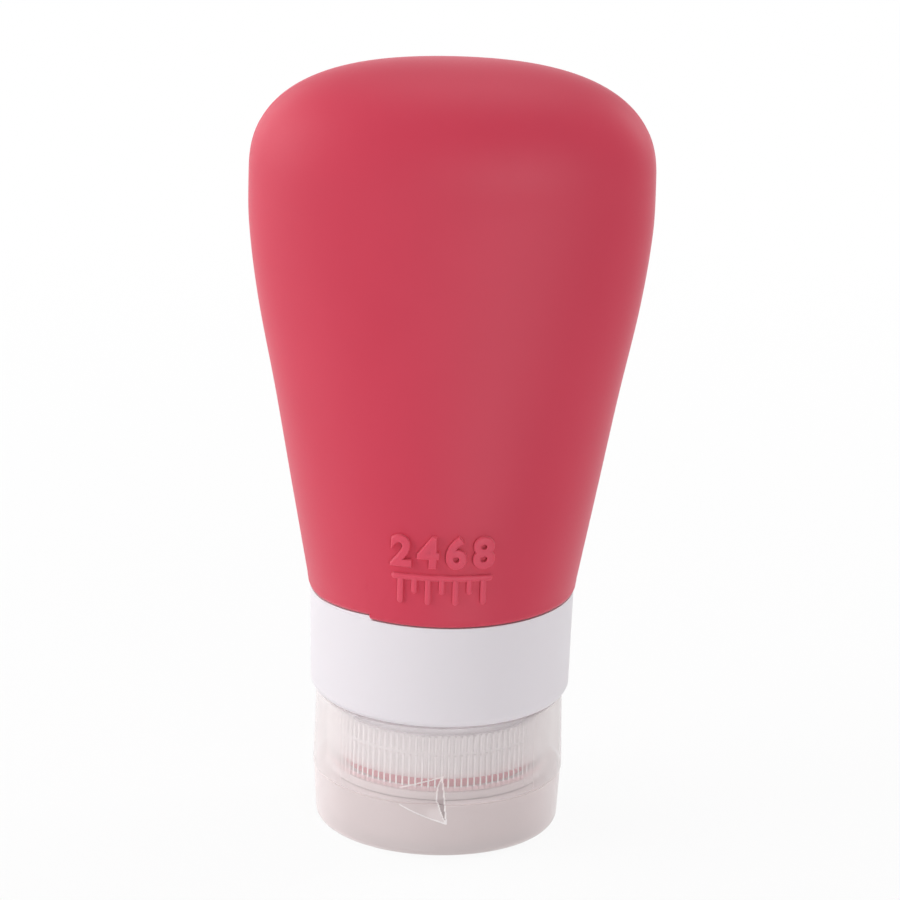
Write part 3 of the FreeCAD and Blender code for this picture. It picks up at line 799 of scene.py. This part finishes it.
def lid_shape(wide, deep, height, angle):
    """Cut the scoop into the wall, and the slot for the ears into its back."""
    in_slot = math.pi - abs(angle) < SLOT_ANGLE and wide > LID_BORE - CAP_EDGE
    if in_slot and height > LID_FLOOR:
        cut_radius = min(wide, lid_radius_at(LID_FLOOR))
        return cut_radius, cut_radius, LID_FLOOR
    radius = scooped(wide, angle, height) if wide > LID_BORE + CAP_EDGE else wide
    return radius, radius, height


lid_outline = soft_corners(
    [
        (0.0, STOPPER_TOP),
        (STOPPER_RADIUS, STOPPER_TOP),
        (STOPPER_RADIUS, LID_FLOOR),
        (GUIDE_BORE, LID_FLOOR),
        (GUIDE_BORE, GUIDE_TOP),
        (GUIDE_RADIUS, GUIDE_TOP),
        (GUIDE_RADIUS, LID_FLOOR),
        (LID_BORE, LID_FLOOR),
        (LID_BORE, LID_HEIGHT),
        (LID_RADIUS, LID_HEIGHT),
        (LID_BASE_RADIUS, LID_BASE_ROUNDING),
    ],
    CAP_EDGE, closed=False,
)
for step in range(1, ARC_STEPS + 1):
    turn = math.pi / 2 * step / ARC_STEPS
    inwards = LID_BASE_ROUNDING * (1 - math.cos(turn))
    upwards = LID_BASE_ROUNDING * (1 - math.sin(turn))
    lid_outline.append(Vector((LID_BASE_RADIUS - inwards, upwards)))
lid_outline.append(Vector((0.0, 0.0)))
lid_rows = round_rows(*divided(lid_outline, wall_step, closed=False))
lid_angles = wall_angles([SLOT_ANGLE - math.pi, math.pi - SLOT_ANGLE])
lid_cup = skin("lid_cup", lid_rows, lid_angles, shape=lid_shape)
print("lid cup:", len(lid_cup.data.polygons), "faces")

# %% Tongue and trunnions
TONGUE_HALF = 2.0
TRUNNION_RADIUS = 0.6
TRUNNION_END = 3.4
tongue = hinge_leaf(
    "lid_tongue", -TONGUE_HALF, TONGUE_HALF, BARREL_RADIUS, HINGE_Z - LID_FLOOR, BARREL_RADIUS,
)
trunnions = hinge_leaf(
    "lid_trunnions", -TRUNNION_END, TRUNNION_END, TRUNNION_RADIUS, TRUNNION_RADIUS, TRUNNION_RADIUS,
)
for piece in (lid_cup, tongue, trunnions):
    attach(piece, "lid")
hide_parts("flip_lid")
print("trunnions with", round(EAR_HOLE - TRUNNION_RADIUS, 2), "mm of play in the ears")

# %% [markdown]
# A polished edge of clear plastic gathers light and looks brighter than the face beside it, and the
# slanting end of the scoop sends it elsewhere and looks darker. Light that is traced through many clear
# faces would show this too, but with much noise. So the faces on the scoop's rim, on its inner crease
# and on its end are picked: the rim and the crease get a painted highlight, and the end painted shade.
# The distance to the rim is the scoop's depth divided by how fast that depth changes along the wall.

# %% Faces along the scoop's rim and on the lid's foot
RIM_HALF_WIDTH = 0.1
RIM_START = math.radians(-17)
PROBE = 0.05
FOOT = 0.25


def scoop_place(place, wall_radius):
    """Whether a place on the outside lies on an edge of the scoop, on its end or on neither."""
    across, along, height = place
    radius = wall_radius(height)
    angle = math.atan2(across, -along)

    def depth(sideways, upwards):
        """Depth of the scoop at a small way from the place."""
        return radius - max(scoop_radii(angle + sideways / radius, height + upwards, radius))

    steps = [depth(PROBE, 0), depth(-PROBE, 0), depth(0, PROBE), depth(0, -PROBE)]
    within = math.hypot(across, along) < CAP_BORE + CAP_EDGE
    if within or angle < RIM_START or not all(map(math.isfinite, steps)):
        return "neither"
    slope = math.hypot(steps[0] - steps[1], steps[2] - steps[3]) / (2 * PROBE)
    on_rim = abs(depth(0, 0)) < RIM_HALF_WIDTH * slope
    tube, end = scoop_radii(angle, height, radius)
    cut = depth(0, 0) > 0
    if on_rim or (cut and abs(tube - end) < RIM_HALF_WIDTH):
        return "edge"
    return "end" if cut and end > tube else "neither"


def scoop_faces(piece, wall_radius):
    """The faces of a piece on the edges of the scoop, and those on its end."""
    places = {"edge": [], "end": [], "neither": []}
    for face in piece.data.polygons:
        places[scoop_place(face.center / MM, wall_radius)].append(face)
    return places["edge"], places["end"]


cap_edges, cap_end = scoop_faces(cap_wall, cap_radius_at)
lid_edges, lid_end = scoop_faces(lid_cup, lid_radius_at)
lid_foot = [face for face in lid_cup.data.polygons if face.center.z < FOOT * MM]
print("faces on the scoop's edges:", len(cap_edges) + len(lid_edges))
print("faces on the scoop's end:", len(cap_end) + len(lid_end))

# %% [markdown]
# ## Materials
# Every colour is written as sRGB hex, as a colour picker shows it, and one function turns it to the
# linear values that shaders use. A second small function adds a node with its settings and links.
# Object coordinates are in metres, so a pattern of a real size in millimetres has a scale of one over
# that size.


# %% Colour and node helpers
def hex_colour(code):
    """Turn an sRGB hex code into linear red, green, blue and alpha."""
    parts = [int(code[index:index + 2], 16) / 255 for index in (1, 3, 5)]
    linear = [part / 12.92 if part <= 0.04045 else ((part + 0.055) / 1.055) ** 2.4 for part in parts]
    return (*linear, 1.0)


def add_node(tree, kind, inputs=None, **settings):
    """Add a node; inputs are values or the sockets that feed them."""
    node = tree.nodes.new(kind)
    for name, value in settings.items():
        setattr(node, name, value)
    for name, value in (inputs or {}).items():
        if isinstance(value, bpy.types.NodeSocket):
            tree.links.new(value, node.inputs[name])
        else:
            node.inputs[name].default_value = value
    return node


def new_material(name):
    """A material without any nodes, and its node tree."""
    material = bpy.data.materials.new(name)
    material.use_nodes = True
    material.node_tree.nodes.clear()
    return material, material.node_tree


def per_metre(size_mm):
    """Pattern scale that gives features of a real size."""
    return 1 / (size_mm * MM)


def wear(piece, material):
    """Give a whole piece this material alone."""
    piece.data.materials.clear()
    piece.data.materials.append(material)


def finish_faces(piece, faces, material):
    """Give some faces of a piece another material."""
    piece.data.materials.append(material)
    for face in faces:
        face.material_index = len(piece.data.materials) - 1


print("mid grey in linear light:", round(hex_colour("#808080")[0], 3))

# %% [markdown]
# ### Moulded silicone
# Pigmented silicone rubber from a finely blasted mould: no mirror gloss, a broad soft sheen, and light
# that sinks in a little before it leaves, so the edges of its shadows look warm. The blast grain is
# finer than a pixel, so it is drawn a little coarser than it is. A slow noise moves the colour slightly
# and lets the flank swell by hundredths of a millimetre, as soft walls do. The raised marks get a paler
# red, a painted highlight for the light that their raised tops catch.

# %% Silicone material
BLAST_GRAIN = 0.3
GRAIN_DEPTH = 0.012
SOFT_SWELL = 14.0
SWELL_DEPTH = 0.12
LIGHT_SINKS = 1.2
SILICONE_ROUGHNESS = (0.46, 0.58)
SILICONE_IOR = 1.41


def silicone_rubber(name, base, deep):
    """Matt rubber whose colour moves between two reds."""
    material, tree = new_material(name)
    place = add_node(tree, "ShaderNodeTexCoord").outputs["Object"]
    swell = add_node(
        tree, "ShaderNodeTexNoise", {"Vector": place, "Scale": per_metre(SOFT_SWELL), "Detail": 1.0},
    )
    grain = add_node(
        tree, "ShaderNodeTexNoise", {"Vector": place, "Scale": per_metre(BLAST_GRAIN), "Detail": 2.0},
    )
    # A Mix node has sockets of several types under one name, so its colours are picked by their type
    colour = add_node(tree, "ShaderNodeMix", {"Factor": swell.outputs["Fac"]}, data_type="RGBA")
    for socket in colour.inputs:
        if socket.type == "RGBA":
            socket.default_value = hex_colour(base if socket.name == "A" else deep)
    mixed = next(output for output in colour.outputs if output.type == "RGBA")
    least, most = SILICONE_ROUGHNESS
    rough = add_node(
        tree, "ShaderNodeMapRange",
        {"Value": grain.outputs["Fac"], "To Min": least, "To Max": most},
    )
    swollen = add_node(
        tree, "ShaderNodeBump",
        {"Height": swell.outputs["Fac"], "Strength": 1.0, "Distance": SWELL_DEPTH * MM},
    )
    bumped = add_node(
        tree, "ShaderNodeBump",
        {"Height": grain.outputs["Fac"], "Strength": 0.35, "Distance": GRAIN_DEPTH * MM,
         "Normal": swollen.outputs["Normal"]},
    )
    shader = add_node(
        tree, "ShaderNodeBsdfPrincipled",
        {"Base Color": mixed, "Roughness": rough.outputs["Result"], "IOR": SILICONE_IOR,
         "Normal": bumped.outputs["Normal"], "Subsurface Weight": 0.12,
         "Subsurface Radius": (1.0, 0.35, 0.3), "Subsurface Scale": LIGHT_SINKS * MM,
         "Sheen Weight": 0.34, "Sheen Roughness": 0.45, "Sheen Tint": hex_colour("#F6C3CB")},
    )
    add_node(tree, "ShaderNodeOutputMaterial", {"Surface": shader.outputs["BSDF"]})
    return material


red_silicone = silicone_rubber("red_silicone_rubber", "#CE3B53", "#C8364E")
# A paler red for the raised scale: a painted highlight for the light its raised tops catch
highlit_relief_silicone = silicone_rubber("red_silicone_rubber_painted_highlight", "#DA4A61", "#D4455C")
wear(silicone_body, red_silicone)
for piece in relief_pieces:
    wear(piece, highlit_relief_silicone)
print("silicone on", 1 + len(relief_pieces), "pieces")

# %% [markdown]
# ### White polypropylene
# The collar is injection moulded from white polypropylene, and the CAD piece is already its shape. It is
# satin rather than glossy, a little translucent at its thin rim, and its surface has the faint flow
# ripple of the mould.

# %% Collar material
FLOW_RIPPLE = 4.0
RIPPLE_DEPTH = 0.006
SATIN_GRAIN = 0.25
SATIN_ROUGHNESS = (0.34, 0.46)
RIM_GLOW = 0.8
POLYPROPYLENE_IOR = 1.49


def white_polypropylene(name):
    """Satin white plastic."""
    material, tree = new_material(name)
    place = add_node(tree, "ShaderNodeTexCoord").outputs["Object"]
    ripple = add_node(
        tree, "ShaderNodeTexNoise", {"Vector": place, "Scale": per_metre(FLOW_RIPPLE), "Detail": 1.0},
    )
    grain = add_node(
        tree, "ShaderNodeTexNoise", {"Vector": place, "Scale": per_metre(SATIN_GRAIN), "Detail": 2.0},
    )
    least, most = SATIN_ROUGHNESS
    rough = add_node(
        tree, "ShaderNodeMapRange",
        {"Value": grain.outputs["Fac"], "To Min": least, "To Max": most},
    )
    rippled = add_node(
        tree, "ShaderNodeBump",
        {"Height": ripple.outputs["Fac"], "Strength": 1.0, "Distance": RIPPLE_DEPTH * MM},
    )
    shader = add_node(
        tree, "ShaderNodeBsdfPrincipled",
        {"Base Color": hex_colour("#E6E1E6"), "Roughness": rough.outputs["Result"],
         "IOR": POLYPROPYLENE_IOR, "Normal": rippled.outputs["Normal"], "Subsurface Weight": 0.1,
         "Subsurface Radius": (1.0, 0.9, 0.85), "Subsurface Scale": RIM_GLOW * MM},
    )
    add_node(tree, "ShaderNodeOutputMaterial", {"Surface": shader.outputs["BSDF"]})
    return material


wear(frame["nodes"]["collar"], white_polypropylene("white_moulded_polypropylene"))
print("white polypropylene on the collar")

# %% [markdown]
# ### Clear polypropylene
# The cap and the lid are clarified polypropylene, moulded thin. It is never as clear as glass: crystals
# in it scatter a part of the light, which looks like a pale haze, while the rest goes straight on. Thin
# walls hardly bend what is seen through them, so the shader's alpha does this: it says how much each
# face covers with haze. A wall that is seen at a slant is crossed by a longer way and covers more.

# %% Hazy plastic
MOULD_WAVE = 3.0
WAVE_DEPTH = 0.01
SLANT_BLEND = 0.5
SLANT_START = 0.25
SLANT_END = 0.9


def hazy_moulding(name, tint, cover, roughness, steep=None):
    """Clear moulding: cover is the haze of a face seen straight on, steep that of one seen aslant."""
    material, tree = new_material(name)
    place = add_node(tree, "ShaderNodeTexCoord").outputs["Object"]
    wave = add_node(
        tree, "ShaderNodeTexNoise", {"Vector": place, "Scale": per_metre(MOULD_WAVE), "Detail": 1.0},
    )
    least, most = roughness
    rough = add_node(
        tree, "ShaderNodeMapRange",
        {"Value": wave.outputs["Fac"], "To Min": least, "To Max": most},
    )
    waved = add_node(
        tree, "ShaderNodeBump",
        {"Height": wave.outputs["Fac"], "Strength": 1.0, "Distance": WAVE_DEPTH * MM},
    )
    if steep:
        slant = add_node(tree, "ShaderNodeLayerWeight", {"Blend": SLANT_BLEND})
        haze = add_node(
            tree, "ShaderNodeMapRange",
            {"Value": slant.outputs["Facing"], "From Min": SLANT_START, "From Max": SLANT_END,
             "To Min": cover, "To Max": steep},
            interpolation_type="SMOOTHSTEP",
        )
        cover = haze.outputs["Result"]
    shader = add_node(
        tree, "ShaderNodeBsdfPrincipled",
        {"Base Color": hex_colour(tint), "Roughness": rough.outputs["Result"],
         "IOR": POLYPROPYLENE_IOR, "Alpha": cover, "Normal": waved.outputs["Normal"]},
    )
    add_node(tree, "ShaderNodeOutputMaterial", {"Surface": shader.outputs["BSDF"]})
    return material


print("mould waves", MOULD_WAVE, "mm long and", WAVE_DEPTH, "mm deep")

# %% [markdown]
# One clear material for all would be simpler, but the ribs and edges gather light, so they get a
# painted highlight: they cover more and look whiter than the walls. The lid's foot is frosted, and its
# greyer tint is painted shade where it stands on the floor. The scoop's end gets a greyer haze, painted
# shade, and what lies beside the red flange a rosy one, a painted reflection of that flange. The valve
# is milky silicone, which the same function gives. It and its retainer keep their CAD shapes, because
# they are deep inside.

# %% Clear pieces and their faces
POLISHED = (0.1, 0.16)
SATIN = (0.2, 0.26)
FROSTED = (0.3, 0.4)
clear_wall = hazy_moulding("clear_polypropylene_wall", "#F0E8E8", 0.23, POLISHED, steep=0.75)
clear_skirt = hazy_moulding("clear_polypropylene_skirt", "#FFF9F9", 0.06, POLISHED)
milky_ring = hazy_moulding("milky_polypropylene_ring", "#FFFBFB", 0.5, SATIN)
# Whiter, denser haze on the rib tops and on the lid's scoop edges: a painted highlight, softer higher up
painted_highlight_rib = hazy_moulding("polypropylene_rib_painted_highlight", "#FFFBFB", 0.75, POLISHED)
softer_painted_highlight_rib = hazy_moulding("polypropylene_rib_softer_painted_highlight", "#FFFBFB", 0.6, POLISHED)
# A rosy tint on the ring's foot: a painted reflection of the red flange beside it
painted_red_reflection_foot = hazy_moulding("polypropylene_ring_foot_painted_red_reflection", "#FFDDE0", 0.6, POLISHED)
# A greyer haze on the scoop's end: painted shade
painted_shade_end = hazy_moulding("polypropylene_end_painted_shade", "#B8ACAD", 0.5, POLISHED)
# A whiter haze on the scoop's rim on the cap: a painted highlight
painted_highlight_edge = hazy_moulding("polypropylene_edge_painted_highlight", "#FFFBFB", 0.5, POLISHED)
# A rosy tint on the deck: a painted reflection of the red flange over it
painted_red_reflection_deck = hazy_moulding("polypropylene_deck_painted_red_reflection", "#F8EDED", 0.6, POLISHED)
hazy_lid = hazy_moulding("hazy_polypropylene_lid", "#F4E7E7", 0.6, SATIN, steep=0.9)
# The foot is frosted, and its greyer tint is painted shade where it stands on the floor
painted_shade_frosted_foot = hazy_moulding("polypropylene_foot_frosted_painted_shade", "#D8C8C8", 0.85, FROSTED)
milky_silicone = hazy_moulding("milky_silicone_rubber", "#EFE9E6", 0.6, FROSTED)
wear(cap_wall, clear_wall)
# Painted highlight on the scoop's rim
finish_faces(cap_wall, cap_edges, painted_highlight_edge)
# Painted shade on the scoop's end
finish_faces(cap_wall, cap_end, painted_shade_end)
# The real wall lets nearly all light in to the ring, so it casts no shadow here
cap_wall.visible_shadow = False
wear(ribbed_ring, milky_ring)
finish_faces(ribbed_ring, ring_window, clear_skirt)
# Painted highlight on the rib tops, softer above the flange
finish_faces(ribbed_ring, rib_tops, painted_highlight_rib)
finish_faces(ribbed_ring, upper_rib_tops, softer_painted_highlight_rib)
# Painted reflection of the red flange on the ring's foot
finish_faces(ribbed_ring, ring_foot, painted_red_reflection_foot)
wear(lid_cup, hazy_lid)
# Painted highlight on the scoop's edges on the lid
finish_faces(lid_cup, lid_edges, painted_highlight_rib)
# Painted shade on the lid's frosted foot
finish_faces(lid_cup, lid_foot, painted_shade_frosted_foot)
# Painted shade on the scoop's end on the lid
finish_faces(lid_cup, lid_end, painted_shade_end)
# Painted reflection of the red flange on the deck
wear(cap_deck, painted_red_reflection_deck)
for piece in (*ears, frame["nodes"]["valve_retainer"]):
    wear(piece, clear_wall)
for piece in (tongue, trunnions):
    wear(piece, hazy_lid)
wear(frame["nodes"]["no_drip_valve"], milky_silicone)
print("clear polypropylene on the cap, the ring, the retainer and the lid")

# %% [markdown]
# ## Stage, light and camera
# A product photograph like this one is taken in a light tent: white all round, one stronger side. The
# world gives the even light, and is plain white to the camera and to what shines or lets light through.

# %% Light tent
TENT_LIGHT = 0.16
SHOWN_WHITE = 1.0


def seen_directly(tree):
    """One where a ray comes from the camera, a reflection or a clear piece, else zero."""
    path = add_node(tree, "ShaderNodeLightPath")
    seen = path.outputs["Is Camera Ray"]
    for name in ("Is Glossy Ray", "Is Transmission Ray"):
        inputs = {0: seen, 1: path.outputs[name]}
        seen = add_node(tree, "ShaderNodeMath", inputs, operation="MAXIMUM").outputs["Value"]
    return seen


world = bpy.data.worlds.new("light_tent")
bpy.context.scene.world = world
world.use_nodes = True
tree = world.node_tree
tree.nodes.clear()
strength = add_node(
    tree, "ShaderNodeMapRange",
    {"Value": seen_directly(tree), "To Min": TENT_LIGHT, "To Max": SHOWN_WHITE},
)
sky = add_node(
    tree, "ShaderNodeBackground",
    {"Color": hex_colour("#FFFFFF"), "Strength": strength.outputs["Result"]},
)
add_node(tree, "ShaderNodeOutputWorld", {"Surface": sky.outputs["Background"]})
print("light tent at", TENT_LIGHT, "of the white that the camera sees")

# %% [markdown]
# The floor could simply be painted white, but the bottle stands on its lid, and the lid opens downwards.
# So the floor is nearly open to view: the white world shows through it, and only a part of its soft
# shadow stays, which fades away from the bottle.

# %% Floor
FLOOR_SIZE = 4000.0
FLOOR_GAP = 0.05
SHADOW_SHARE = 0.09
SHADOW_REACH = 260.0
floor_corners = [
    (side * FLOOR_SIZE / 2, end * FLOOR_SIZE / 2, -FLOOR_GAP)
    for side, end in ((-1, -1), (1, -1), (1, 1), (-1, 1))
]
floor = make_mesh("floor", floor_corners, [(0, 1, 2, 3)])
paper, tree = new_material("white_paper_floor")
matt = add_node(tree, "ShaderNodeBsdfDiffuse", {"Color": hex_colour("#F2F2F2")})
open_view = add_node(tree, "ShaderNodeBsdfTransparent")
place = add_node(tree, "ShaderNodeTexCoord").outputs["Object"]
away = add_node(tree, "ShaderNodeVectorMath", {"Vector": place}, operation="LENGTH")
open_share = add_node(
    tree, "ShaderNodeMapRange",
    {"Value": away.outputs["Value"], "From Max": SHADOW_REACH * MM, "To Min": 1 - SHADOW_SHARE},
)
inputs = {0: seen_directly(tree), 1: open_share.outputs["Result"]}
shown = add_node(tree, "ShaderNodeMath", inputs, operation="MULTIPLY")
mixed = add_node(
    tree, "ShaderNodeMixShader",
    {"Fac": shown.outputs["Value"], 1: matt.outputs["BSDF"], 2: open_view.outputs["BSDF"]},
)
add_node(tree, "ShaderNodeOutputMaterial", {"Surface": mixed.outputs["Shader"]})
wear(floor, paper)
# The floor keeps no light from an open lid, which hangs below it
floor.visible_shadow = False
print("white floor with a shadow of", SHADOW_SHARE, "that ends", SHADOW_REACH, "mm away")

# %% [markdown]
# Soft boxes are large flat lamps. Two on the left make that side the brighter one, as in the
# photograph, and the others lift the right side, the top and the front. Area lights of a real size give
# the broad, soft sheen that matt rubber shows, which a point or a sun would not.

# %% Soft boxes
SOFT_BOXES = {
    # Name: place, width and height in millimetres, and power in watts
    "left_soft_box": ((-590, -130, 260), 420, 520, 2.5),
    "left_rear_soft_box": ((-500, 320, 300), 420, 520, 1.4),
    "right_soft_box": ((540, 300, 320), 300, 420, 1.3),
    "top_soft_box": ((60, 40, 700), 420, 420, 1.25),
    "front_reflector": ((260, -720, 140), 320, 320, 2.05),
}
LIT_POINT = Vector((0, 0, 55)) * MM
for name, (spot, width, tall, power) in SOFT_BOXES.items():
    lamp = bpy.data.lights.new(name, "AREA")
    lamp.shape = "RECTANGLE"
    lamp.size = width * MM
    lamp.size_y = tall * MM
    lamp.energy = power
    light = bpy.data.objects.new(name, lamp)
    light.location = Vector(spot) * MM
    light.rotation_mode = "QUATERNION"
    light.rotation_quaternion = (LIT_POINT - light.location).to_track_quat("-Z", "Y")
    bpy.context.scene.collection.objects.link(light)
print("soft boxes:", len(SOFT_BOXES))

# %% [markdown]
# The camera stands a metre away and about twenty degrees above the table, with a long lens, so the
# bottle hardly tapers in the picture. Its lens follows from how many pixels a millimetre takes in the
# photograph. The photograph is turned a little, so our camera is too.

# %% Camera
CAMERA_DISTANCE = 1000.0
CAMERA_ELEVATION = math.radians(19.15)
CAMERA_ROLL = math.radians(1.5)
AIM = Vector((0.62, 0.0, 51.5))
PIXELS_PER_MM = 7.583
IMAGE_WIDTH = 900
SENSOR_WIDTH = 36.0
NEAREST = 10.0
FARTHEST = 10000.0

lens = bpy.data.cameras.new("product_camera")
lens.sensor_width = SENSOR_WIDTH
lens.lens = SENSOR_WIDTH * PIXELS_PER_MM * CAMERA_DISTANCE / IMAGE_WIDTH
lens.clip_start = NEAREST * MM
lens.clip_end = FARTHEST * MM
camera = bpy.data.objects.new("product_camera", lens)
back = Vector((0.0, -math.cos(CAMERA_ELEVATION), math.sin(CAMERA_ELEVATION)))
camera.location = (AIM + back * CAMERA_DISTANCE) * MM
camera.rotation_mode = "QUATERNION"
camera.rotation_quaternion = (-back).to_track_quat("-Z", "Y") @ Quaternion((0, 0, 1), CAMERA_ROLL)
bpy.context.scene.collection.objects.link(camera)
bpy.context.scene.camera = camera
bpy.context.scene.view_settings.view_transform = "Standard"
print("lens of", round(lens.lens), "mm")
